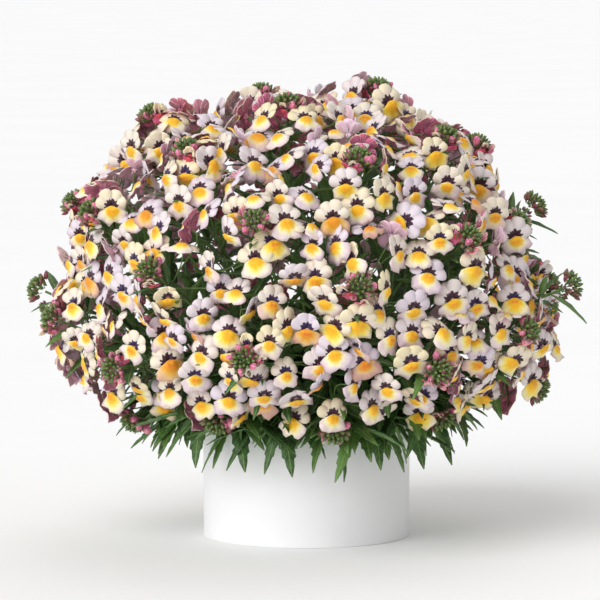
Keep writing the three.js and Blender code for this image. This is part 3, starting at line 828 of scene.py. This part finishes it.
openForms = [makeBloomForm(i, form) for i, form in enumerate(bloomForms)]


# half-open flowers: the lobes stand forward over a lip that is still folded up
def makeYoungForm(i, closed):
    random = makeRandom(900 + 31 * i)
    form = {"tilt": -48 - 24 * closed, "curl": -1.5, "spread": 0.72 - 0.2 * closed, "lip": 62,
            "ruffle": 0.6, "lobes": 0.82 - 0.1 * closed}
    parts = [makeLobe(form, angle, random) for angle in lobeAngles]
    folded = makeLipPetal(form, random, rose=True)
    settle(folded, Matrix.Diagonal((0.72, 0.72, 0.8, 1)))
    return joinAll(parts + [folded] + makeCalyx(), f"youngForm{i}")


youngForms = [makeYoungForm(0, 0), makeYoungForm(1, 1)]


def makePetalBud():  # a flower about to open: folded petals standing in their sepals
    clearSelection()
    bpy.ops.mesh.primitive_uv_sphere_add(segments=8, ring_count=6, radius=mm)
    bud = nameActive("petalBud", petalReverse)
    bpy.ops.object.mode_set(mode="EDIT")
    bpy.ops.mesh.select_all(action="SELECT")
    scaleBy(2.8, 2.1, 4.7, (0, 0, 0))
    pick(bud, lambda co: co.z > 3 * mm)
    move(0, 0.5 * mm, -0.3 * mm)
    pick(bud, lambda co: co.z < -1.5 * mm)
    scaleBy(0.6, 0.7, 1, (0, 0, 0))
    bpy.ops.mesh.select_all(action="SELECT")
    move(0, 0, 5.1 * mm)
    bpy.ops.object.mode_set(mode="OBJECT")
    bpy.ops.object.shade_smooth()
    setPlan(bud, lambda co: flowerPlan(co.x / mm, co.z / mm))
    return joinAll([bud] + [makeSepal(45 + 90 * i, 28) for i in range(4)], "petalBud")


petalBud = makePetalBud()
print("flower forms:", len(openForms) + len(youngForms), "faces each:",
      [len(f.data.polygons) for f in openForms + youngForms])


# leaf forms: rows are share of the length, share of the half width, with teeth that point forward
leafRows = {
    "toothed": [(0, 0.1), (0.08, 0.22), (0.2, 0.6), (0.31, 0.86), (0.42, 1.0), (0.45, 0.8), (0.58, 0.9),
                (0.61, 0.66), (0.72, 0.7), (0.75, 0.46), (0.86, 0.38), (1.0, 0.04)],
    "plain": [(0, 0.12), (0.1, 0.4), (0.3, 0.85), (0.5, 1.0), (0.7, 0.75), (0.86, 0.4), (1.0, 0.05)],
}
leafForms = {  # length and width in millimetres, droop of the tip, fold along the rib, twist in degrees
    "broad": {"rows": "toothed", "length": 44, "width": 13, "droop": 7, "fold": 1.6, "twist": 14},
    "long": {"rows": "toothed", "length": 44, "width": 9.5, "droop": 10, "fold": 1.8, "twist": -22},
    "wavy": {"rows": "toothed", "length": 44, "width": 11, "droop": 3, "fold": 2.2, "twist": 30},
    "narrow": {"rows": "plain", "length": 22, "width": 4.6, "droop": 3, "fold": 0.8, "twist": 10},
}
leafThickness = 0.4
leafWave = 0.4


def makeLeafForm(name, form):
    rows = [(t * form["length"], max(0.05, w * form["width"] / 2)) for t, w in leafRows[form["rows"]]]
    piece = makeBlade("leaf", 2, rows, (leafFace, leafBack))
    half, length = form["width"] / 2 * mm, form["length"] * mm
    setPlan(piece, lambda co: (co.x / half / 2 + 0.5, co.y / length))
    for v in piece.data.vertices:
        t, w = v.co.y / length, v.co.x / half
        wave = leafWave * math.sin(9 * t + 2 * w) * abs(w)
        v.co.z = mm * (form["fold"] * abs(w) - form["droop"] * t * t + wave)
    twist = piece.modifiers.new("twist", "SIMPLE_DEFORM")
    twist.deform_method = "TWIST"
    twist.deform_axis = "Y"
    twist.angle = math.radians(form["twist"])
    applyModifiers(piece)
    thicken(piece, leafThickness)
    piece.name = name + "Leaf"
    return piece


leaves = {name: makeLeafForm(name, form) for name, form in leafForms.items()}
leafLength = leafForms["broad"]["length"]
print("leaf forms:", {name: len(leaf.data.polygons) for name, leaf in leaves.items()})


# buds: a pointed egg with a few sepals round it
def makeBudForm():
    clearSelection()
    bpy.ops.mesh.primitive_uv_sphere_add(segments=6, ring_count=5, radius=1.15 * mm,
                                         location=(0, 0, 1.6 * mm))
    applyPlace()
    piece = nameActive("bud", budSkin)
    bpy.ops.object.mode_set(mode="EDIT")
    bpy.ops.mesh.select_all(action="SELECT")
    scaleBy(1, 1, 1.75, (0, 0, 1.6 * mm))
    pick(piece, lambda co: co.z > 3.4 * mm)
    scaleBy(0.6, 0.6, 1, (0, 0, 3.4 * mm))
    move(0, 0, 0.5 * mm)
    bpy.ops.object.mode_set(mode="OBJECT")
    bpy.ops.object.shade_smooth()
    return piece


def makeBract():
    clearSelection()
    bpy.ops.mesh.primitive_cone_add(vertices=4, radius1=0.7 * mm, radius2=0.05 * mm, depth=4.5 * mm,
                                    location=(0, 0, 2.25 * mm))
    piece = nameActive("bract", budSkin)
    bpy.ops.object.mode_set(mode="EDIT")
    bpy.ops.mesh.select_all(action="SELECT")
    scaleBy(1, 0.35, 1, (0, 0, 0))
    bpy.ops.object.mode_set(mode="OBJECT")
    applyPlace()
    return piece


goldenTurn = 2.39996  # radians
tuftLook = {"buds": 34, "reach": 8.4, "rise": 8.0, "redFrom": 0.7, "bracts": 34, "lift": 3}


def makeTuft(i):
    random = makeRandom(500 + 71 * i)
    bud, bract = makeBudForm(), makeBract()
    parts = []
    for k in range(tuftLook["buds"]):
        share = math.sqrt((k + 0.5) / tuftLook["buds"])
        turn = k * goldenTurn
        out = tuftLook["reach"] * share * (0.85 + 0.3 * random())
        at = Vector((out * math.cos(turn), out * math.sin(turn), tuftLook["rise"] * (1 - share ** 2)))
        way = (at + Vector((0, 0, 3.5))).normalized()
        size = 0.6 + 0.85 * share * (0.8 + 0.4 * random())
        red = limited((share - tuftLook["redFrom"]) * 4) * (0.4 + 0.6 * random())
        parts.append(copyOf(bud, standAt(way, at, size, 0), (red, 0, 0, random())))
    for k in range(tuftLook["bracts"]):
        turn = k * 2.1 + random()
        out = tuftLook["reach"] * (0.25 + 0.6 * random())
        at = Vector((out * math.cos(turn), out * math.sin(turn), 5 * random() - 1.5))
        way = (at * (0.6 + 0.8 * random()) + Vector((0, 0, 4.5))).normalized()
        parts.append(copyOf(bract, standAt(way, at, 1.0 + 0.6 * random(), turn), (0, 0, 0, random())))
    for spare in (bud, bract):
        bpy.data.objects.remove(spare)
    return joinAll(parts, f"tuft{i}")


tufts = [makeTuft(i) for i in range(3)]
print("bud tufts:", [len(t.data.polygons) for t in tufts])


def makeTubes(name, lines, material):  # round stalks: each line is a list of points and a list of radii
    curve = bpy.data.curves.new(name, "CURVE")
    curve.dimensions = "3D"
    curve.bevel_depth = mm
    curve.bevel_resolution = 0
    curve.resolution_u = 1
    curve.use_fill_caps = True
    for points, radii in lines:
        spline = curve.splines.new("POLY")
        spline.points.add(len(points) - 1)
        for place, point, radius in zip(spline.points, points, radii):
            place.co = (*(Vector(point) * mm), 1)
            place.radius = radius
    piece = bpy.data.objects.new(name, curve)
    bpy.context.scene.collection.objects.link(piece)
    clearSelection()
    piece.select_set(True)
    bpy.context.view_layer.objects.active = piece
    bpy.ops.object.convert(target="MESH")
    piece = bpy.context.active_object
    piece.data.materials.clear()
    piece.data.materials.append(material)
    bpy.ops.object.shade_smooth()
    setTone(piece, (0.3, 0, 0, 0))
    return piece


# flower heads: the open flowers of the layout, young ones round the bud tuft, and their stalks
headLook = {"stalk": 0.5, "neck": 4.2, "young": 3, "youngReach": 10, "closed": 6,
            "uneven": 12, "levelBelow": 0.35, "toss": 0.7, "bigToss": 1.8, "bigTossShare": 0.2,
            "smallest": 0.88, "varied": 0.22}


def placeBloom(form, b, tone):
    x, y, z = (b[way] * b["size"] for way in ("across", "upward", "facing"))
    return copyOf(form, frameMatrix(x, y, z, b["centre"] * mm), tone)


def tossed(b, lift, random):  # the same flower raised and turned a little about its middle
    much = headLook["bigToss"] if random() < headLook["bigTossShare"] else headLook["toss"]
    facing = b["facing"].copy()
    facing.z *= headLook["levelBelow"] if facing.z < 0 else 1
    facing += b["across"] * much * (random() - 0.5) + b["upward"] * much * (random() - 0.5)
    facing.normalize()
    across = (b["across"] - facing * b["across"].dot(facing)).normalized()
    size = b["size"] * (headLook["smallest"] + headLook["varied"] * random())
    return {**b, "centre": b["centre"] + lift, "size": size, "facing": facing, "across": across,
            "upward": facing.cross(across)}


def makeHead(i, tip):
    random = makeRandom(7000 + 13 * i)
    parts, lines = [], []
    lift = tip["axis"] * headLook["uneven"] * (random() - 0.6)
    for bloomed in tip["blooms"]:
        b = tossed(bloomed, lift, random)
        form = openForms[int(random() * len(openForms))]
        youth = 1 - b["far"]
        lilac = limited(0.75 - 0.55 * youth + 0.7 * (random() - 0.35))
        yellow = limited(0.3 + 0.4 * youth + 0.7 * (random() - 0.5))
        age = limited(0.55 * b["far"] + 0.6 * random())
        parts.append(placeBloom(form, b, (lilac, yellow, age, random())))
        neck = b["centre"] - b["facing"] * headLook["neck"]
        start = tip["core"] + (b["centre"] - tip["core"]).normalized() * 1.5
        reach = (neck - start).length
        route = bezier(start, start + (neck - start).normalized() * 0.4 * reach,
                       neck - b["facing"] * 0.35 * reach, neck + b["facing"] * 1.2, 6)
        lines.append((route, [headLook["stalk"]] * len(route)))
    side = tip["axis"].orthogonal().normalized()
    for k in range(headLook["young"]):
        turn = 2.1 * k + 6 * random()
        away = around(tip["axis"], side, turn)
        facing = (away * (0.7 + 0.5 * random()) + tip["axis"] * 0.8).normalized()
        level = (up - facing * facing.z).normalized()
        level = (level + level.cross(facing) * (random() - 0.5)).normalized()
        centre = tip["tuft"] + tip["axis"] * (2 + 3 * random()) + away * headLook["youngReach"]
        b = {"centre": centre, "facing": facing, "across": level.cross(facing), "upward": level,
             "size": 0.62 + 0.2 * random()}
        parts.append(placeBloom(youngForms[int(random() * 2)], b, (random() * 0.5, 0.9, 0.1, random())))
        neck = centre - facing * 3.4
        route = bezier(tip["tuft"], tip["tuft"] + tip["axis"] * 2, neck - facing * 2, neck, 4)
        lines.append((route, [0.45] * len(route)))
    for k in range(headLook["closed"]):  # closed flowers stand round the tuft's edge
        turn = (k + 0.6 * random()) * 2 * math.pi / headLook["closed"]
        away = around(tip["axis"], side, turn)
        way = (away * (0.5 + 0.5 * random()) + tip["axis"] * 0.8 + up * 0.25).normalized()
        root = tip["tuft"] + tip["axis"] * 2 * random() + away * (3.5 + 2.5 * random())
        size = 0.8 + 0.35 * random()
        place = standAt(way, root, size, 6 * random())
        parts.append(copyOf(petalBud, place, (0, 0, 0.25 * random(), random())))
    parts.append(makeTubes("stalks", lines, stalkGreen))
    piece = joinAll(parts, f"flowerHead{i + 1:02d}")
    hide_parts(f"flower_head_{i + 1:02d}")
    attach(piece, "root")
    return piece


headPieces = [makeHead(i, tip) for i, tip in enumerate(heads)]
print("flower heads:", len(headPieces), "faces:", sum(len(p.data.polygons) for p in headPieces))

# leafy stems
leafPairs = {  # share of the branch, outward, sideways, upward, length
    "skirt": [(0.74, 0.2, 0.48, -0.85, 45), (0.96, 0.42, 0.24, -0.88, 49)],
    "low": [(0.62, 0.45, 0.55, -0.6, 42)],
    "high": [(0.6, 0.3, 0.8, 0.25, 36)],
}
extraLeaves = {"perBranch": 14, "shortest": 24, "longest": 40, "perStem": 34}
sprig = {"leaves": 5, "longest": 34, "sides": 3, "sideLength": 15, "sideTuft": 0.55}
rimShoots = {"turns": [-19, -6, 5, 17], "line": [(58, 109), (80, 105), (98, 91)],
             "radii": [1.2, 1.0, 0.9, 0.7], "leaves": 13, "shortest": 32, "longest": 50}


def leafMatrix(base, along, length, roll=0):
    across = up.cross(along).normalized()
    normal = along.cross(across)
    if normal.z < 0 and roll == 0:
        across, normal = -across, -normal
    x = across * math.cos(roll) + normal * math.sin(roll)
    size = length / leafLength
    return frameMatrix(-x * size, along * size, along.cross(x) * size, base * mm)


def leaning(base, outward, sideways, upward):  # a direction by what it has of out, aside and up
    out = Vector((base.x, base.y, 0)).normalized()
    return out * outward + up.cross(out) * sideways + up * upward


def makeStemPiece(s, owner):
    random = makeRandom(4000 + 29 * s)
    count = len(owner["line"])
    radii = [stem["radius"] * (1 - 0.35 * i / (count - 1)) for i in range(count)]
    lines = [(owner["line"], radii)]
    parts = []

    def addLeaf(kind, base, along, length, roll=0):
        tone = (random() ** 2, random(), random(), random())
        parts.append(copyOf(leaves[kind], leafMatrix(base, along.normalized(), length, roll), tone))

    def anyKind():
        return ("broad", "long", "wavy")[int(random() * 3)]

    for line in owner["hanging"]:
        lines.append((line, skirt["radii"]))
        for at, outward, sideways, upward, length in leafPairs["skirt"]:
            base = pointAlong(line, at)
            for hand in (1, -1):
                aside = sideways * hand * (0.8 + 0.9 * random())
                along = leaning(base, outward, aside, upward + 0.35 * random())
                addLeaf(anyKind(), base, along, length * (0.9 + 0.15 * random()))
    if owner["hanging"]:
        for turn in rimShoots["turns"]:  # more shoots that lean out over the rim
            angle = s * sectorAngle + math.radians(turn + 5 * (random() - 0.5))
            lift, reach = 14 * (random() - 0.3), 0.88 + 0.24 * random()
            outwards = [(r * reach, z + lift) for r, z in rimShoots["line"]]
            line = [owner["hanging"][0][0]] + lineAt(angle, outwards)
            lines.append((line, rimShoots["radii"]))
            for k in range(rimShoots["leaves"]):
                at = 0.5 + 0.5 * (k + 0.6 * random()) / rimShoots["leaves"]
                base = pointAlong(line, at)
                hand = 1 if k % 2 else -1
                along = leaning(base, 0.25 + 0.8 * random(), hand * (0.3 + 1.3 * random()), 0.1 - random())
                length = rimShoots["shortest"] + random() * (rimShoots["longest"] - rimShoots["shortest"])
                addLeaf(anyKind(), base, along, length, 0.5 * (random() - 0.5))
    for k in range(extraLeaves["perStem"]):  # leaves along the main stem
        base = pointAlong(owner["line"], 0.25 + 0.7 * k / extraLeaves["perStem"])
        turn = k * 2.4 + random()
        along = Vector((math.cos(turn), math.sin(turn), 0.1 + 0.6 * random()))
        addLeaf(anyKind(), base, along, 34 + 14 * random())
    for i, tip in enumerate(owner["tips"]):
        line = branchLine(owner, tip, 7)
        lines.append((line, [branch["radius"] * (1.15 - 0.3 * k / len(line)) for k in range(len(line))]))
        low = tip["core"].z < branch["low"]
        for at, outward, sideways, upward, length in leafPairs["low" if low else "high"]:
            base = pointAlong(line, at)
            for hand in (1, -1):
                addLeaf(anyKind(), base, leaning(base, outward, sideways * hand, upward), length)
        for k in range(extraLeaves["perBranch"]):
            at = 0.22 + 0.7 * (k + random()) / extraLeaves["perBranch"]
            base = pointAlong(line, at)
            ahead = (pointAlong(line, min(1, at + 0.05)) - base).normalized()
            way = around(ahead, ahead.orthogonal().normalized(), k * 2.4 + random())
            along = way * 0.85 + ahead * 0.75
            if base.z < 110 and along.z < -0.2:  # low leaves stay clear of the pot
                along.z *= 0.4
            length = extraLeaves["shortest"] + random() * (extraLeaves["longest"] - extraLeaves["shortest"])
            room = 0.85 if at > 0.75 else 1.35 if at < 0.6 else 1.2
            addLeaf(anyKind(), base, along, length * room)
        matrix = standAt(tip["axis"], tip["tuft"] + tip["axis"] * tuftLook["lift"], 1, random() * 6)
        parts.append(copyOf(tufts[i % 3], matrix))
        if any(tip is shootTip for shootTip in shootTips):  # the long shoots: side stalks, narrow leaves
            side = tip["axis"].orthogonal().normalized()
            for k in range(sprig["leaves"]):
                base = pointAlong(line, 0.72 + 0.26 * k / sprig["leaves"])
                way = around(tip["axis"], side, 2.4 * k + random()) + tip["axis"] * 0.7
                addLeaf("narrow", base, way, sprig["longest"] * (0.7 + 0.3 * random()) * 2)
            for k in range(sprig["sides"]):
                base = pointAlong(line, 0.8 + 0.15 * k / sprig["sides"])
                turn = 2.1 * k + 1
                way = (around(tip["axis"], side, turn) + tip["axis"] * 0.8).normalized()
                end = base + way * sprig["sideLength"]
                lines.append(([base, base + way * 5 + up, end], [0.6, 0.6, 0.5]))
                parts.append(copyOf(tufts[k], standAt(way, end, sprig["sideTuft"], turn)))
    parts.append(makeTubes("stalks", lines, stalkGreen))
    piece = joinAll(parts, owner["name"].replace("leafy_stem_", "leafyStem"))
    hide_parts(owner["name"])
    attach(piece, "root")
    return piece


stemPieces = [makeStemPiece(s, owner) for s, owner in enumerate(stems + [middleStem])]
print("leafy stems:", len(stemPieces), "faces:", sum(len(p.data.polygons) for p in stemPieces))
for spare in openForms + youngForms + [petalBud] + tufts + list(leaves.values()):
    bpy.data.objects.remove(spare)

# pot: a plain straight-sided cylinder with softened edges and drain holes
potLook = {"radius": 75, "height": 100, "wall": 3.2, "floor": 4, "round": 0.9, "sides": 144,
           "drains": 4, "drainRadius": 5, "drainCircle": 42, "white": colour(243, 243, 244),
           "shade": colour(237, 237, 239), "roughness": 0.38}


def makePotMaterial():
    material, tree, surface = newMaterial("potWhite", potLook["white"], 0.42)
    mottle = mottled(tree, 36.0, 4.0)
    base = blend(tree, times(tree, mottle["Shade"], 0.25), potLook["white"], potLook["shade"])
    rough = plus(tree, times(tree, mottle["Shade"], 0.06), potLook["roughness"])
    tree.links.new(rough, surface.inputs["Roughness"])
    finish(tree, surface, base, mottled(tree, 900.0, 2.0)["Height"], 0.12, 0.2)
    return material


def makePot():
    clearSelection()
    look = potLook
    addCylinder(look["sides"], look["radius"], 0, look["height"])
    pot = nameActive("plainPot", makePotMaterial())
    bpy.ops.object.mode_set(mode="EDIT")
    pickTop(pot)
    bpy.ops.mesh.inset(thickness=look["wall"] * mm, depth=0)
    bpy.ops.mesh.extrude_region_move(
        TRANSFORM_OT_translate={"value": (0, 0, (look["floor"] - look["height"]) * mm)})
    bpy.ops.object.mode_set(mode="OBJECT")
    for i in range(look["drains"]):
        angle = (i + 0.5) * 2 * math.pi / look["drains"]
        clearSelection()
        addCylinder(24, look["drainRadius"], -look["floor"], 2 * look["floor"],
                    look["drainCircle"] * math.cos(angle), look["drainCircle"] * math.sin(angle))
        drill = bpy.context.active_object
        bpy.context.view_layer.objects.active = pot
        cut = pot.modifiers.new("drain", "BOOLEAN")
        cut.operation = "DIFFERENCE"
        cut.solver = "EXACT"
        cut.object = drill
        bpy.ops.object.modifier_apply(modifier=cut.name)
        bpy.data.objects.remove(drill)
    soft = pot.modifiers.new("softEdges", "BEVEL")
    soft.width = look["round"] * mm
    soft.segments = 3
    soft.limit_method = "ANGLE"
    soft.angle_limit = math.radians(50)
    applyModifiers(pot)
    clearSelection()
    pot.select_set(True)
    bpy.ops.object.shade_smooth_by_angle(angle=math.radians(40))
    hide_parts("pot")
    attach(pot, "root")
    return pot


makePot()

# soil: a plug with a lumpy top and loose crumbs
soilLook = {"radius": 71.4, "bottom": 4.4, "edge": 84, "crown": 90, "lump": 1.2, "crumbs": 260,
            "sides": 72, "rings": 10,
            "dark": colour(42, 30, 22), "brown": colour(86, 62, 44)}


def makeSoilMaterial():
    material, tree, surface = newMaterial("soilCrumb", soilLook["brown"], 0.95)
    coarse, fine = mottled(tree, 220.0, 5.0), mottled(tree, 1400.0, 2.0)
    base = blend(tree, coarse["Shade"], soilLook["dark"], soilLook["brown"])
    grain = blend(tree, times(tree, fine["Shade"], 0.4), base, soilLook["dark"])
    finish(tree, surface, grain, plus(tree, coarse["Height"], fine["Height"]), 0.9, 1.2)
    return material


def makeSoil():
    look = soilLook
    random = makeRandom(88)
    clearSelection()
    addCylinder(look["sides"], look["radius"], look["bottom"], look["edge"])
    soil = nameActive("pottingSoil", makeSoilMaterial())
    bpy.ops.object.mode_set(mode="EDIT")
    pickTop(soil)
    for _ in range(look["rings"]):
        bpy.ops.mesh.inset(thickness=look["radius"] * mm / (look["rings"] + 1), depth=0)
    bpy.ops.mesh.poke()
    bpy.ops.object.mode_set(mode="OBJECT")
    top, crown = look["edge"] * mm, look["crown"] - look["edge"]
    for v in soil.data.vertices:
        if v.co.z > top - 0.1 * mm:
            r = math.hypot(v.co.x, v.co.y) / (look["radius"] * mm)
            x, y = v.co.x / mm, v.co.y / mm
            lump = math.sin(x * 0.31 + 1) * math.cos(y * 0.37) + 0.6 * math.sin(x * 0.83 + y * 0.59)
            v.co.z += mm * (crown * (1 - r ** 3) + look["lump"] * lump * (1 - r ** 8))
    parts = [soil]
    clearSelection()
    bpy.ops.mesh.primitive_ico_sphere_add(subdivisions=1, radius=1.0 * mm)
    crumb = nameActive("crumb", soil.data.materials[0])
    for _ in range(look["crumbs"]):
        r = look["radius"] * math.sqrt(random()) * 0.95
        turn = random() * 2 * math.pi
        rise = look["edge"] + crown * (1 - (r / look["radius"]) ** 3)
        size = 0.8 + 1.8 * random() ** 2
        matrix = (Matrix.Translation(Vector((r * math.cos(turn), r * math.sin(turn), rise + 0.5)) * mm)
                  @ Matrix.Rotation(random() * 6, 4, "X") @ Matrix.Rotation(random() * 6, 4, "Z")
                  @ Matrix.Diagonal((size, size * 0.75, size * 0.6, 1)))
        parts.append(copyOf(crumb, matrix, (0, 0, 0, random())))
    bpy.data.objects.remove(crumb)
    soil = joinAll(parts, "pottingSoil")
    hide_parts("soil")
    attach(soil, "root")
    return soil


makeSoil()
print("pot and soil made")

# studio: pale floor, soft lights, and the camera at the photograph's angle
studio = {"distance": 3.0, "elevation": 5, "target": (-0.0047, 0, 0.171), "lens": 248, "air": 0.49,
          "floor": colour(254, 254, 254), "floorShade": colour(252, 252, 252), "floorSize": 90, "seen": 1.0}
sunLights = {  # azimuth, elevation, strength, softness
    "keyLight": (-126, 42, 1.5, 50), "fillLight": (-142, 16, 0.8, 35), "backLight": (70, 50, 0.5, 50)}


def makeFloor():
    clearSelection()
    bpy.ops.mesh.primitive_plane_add(size=studio["floorSize"])
    floor = nameActive("paleFloor")
    material, tree, surface = newMaterial("floorPale", studio["floor"], 0.8)
    base = blend(tree, mottled(tree, 3.0)["Shade"], studio["floor"], studio["floorShade"])
    tree.links.new(base, surface.inputs["Base Color"])
    floor.data.materials.append(material)


def addLight(name, azimuth, elevation, strength, softness):
    bpy.ops.object.light_add(type="SUN", location=Vector(wayTo(azimuth, elevation)) * 3)
    light = bpy.context.active_object
    light.name = name
    light.data.energy = strength
    light.data.angle = math.radians(softness)
    light.rotation_euler = (-light.location).to_track_quat("-Z", "Y").to_euler()


def makeStudio():
    makeFloor()
    for name, values in sunLights.items():
        addLight(name, *values)
    world = bpy.data.worlds.new("studioAir")
    bpy.context.scene.world = world
    world.use_nodes = True
    air = world.node_tree.nodes["Background"]
    air.inputs["Color"].default_value = (1, 1, 1, 1)
    seen = addNode(world.node_tree, "LightPath").outputs["Is Camera Ray"]
    lit = addNode(world.node_tree, "MapRange", {0: seen, 3: studio["air"], 4: studio["seen"]}).outputs[0]
    world.node_tree.links.new(lit, air.inputs["Strength"])
    elevation = math.radians(studio["elevation"])
    target = Vector(studio["target"])
    at = target + Vector((0, -math.cos(elevation), math.sin(elevation))) * studio["distance"]
    bpy.ops.object.camera_add(location=at)
    camera = bpy.context.active_object
    camera.data.lens = studio["lens"]
    camera.data.sensor_width = 36
    camera.rotation_euler = (target - at).to_track_quat("-Z", "Y").to_euler()
    bpy.context.scene.camera = camera
    bpy.context.scene.view_settings.view_transform = "Standard"


makeStudio()
print("studio set")
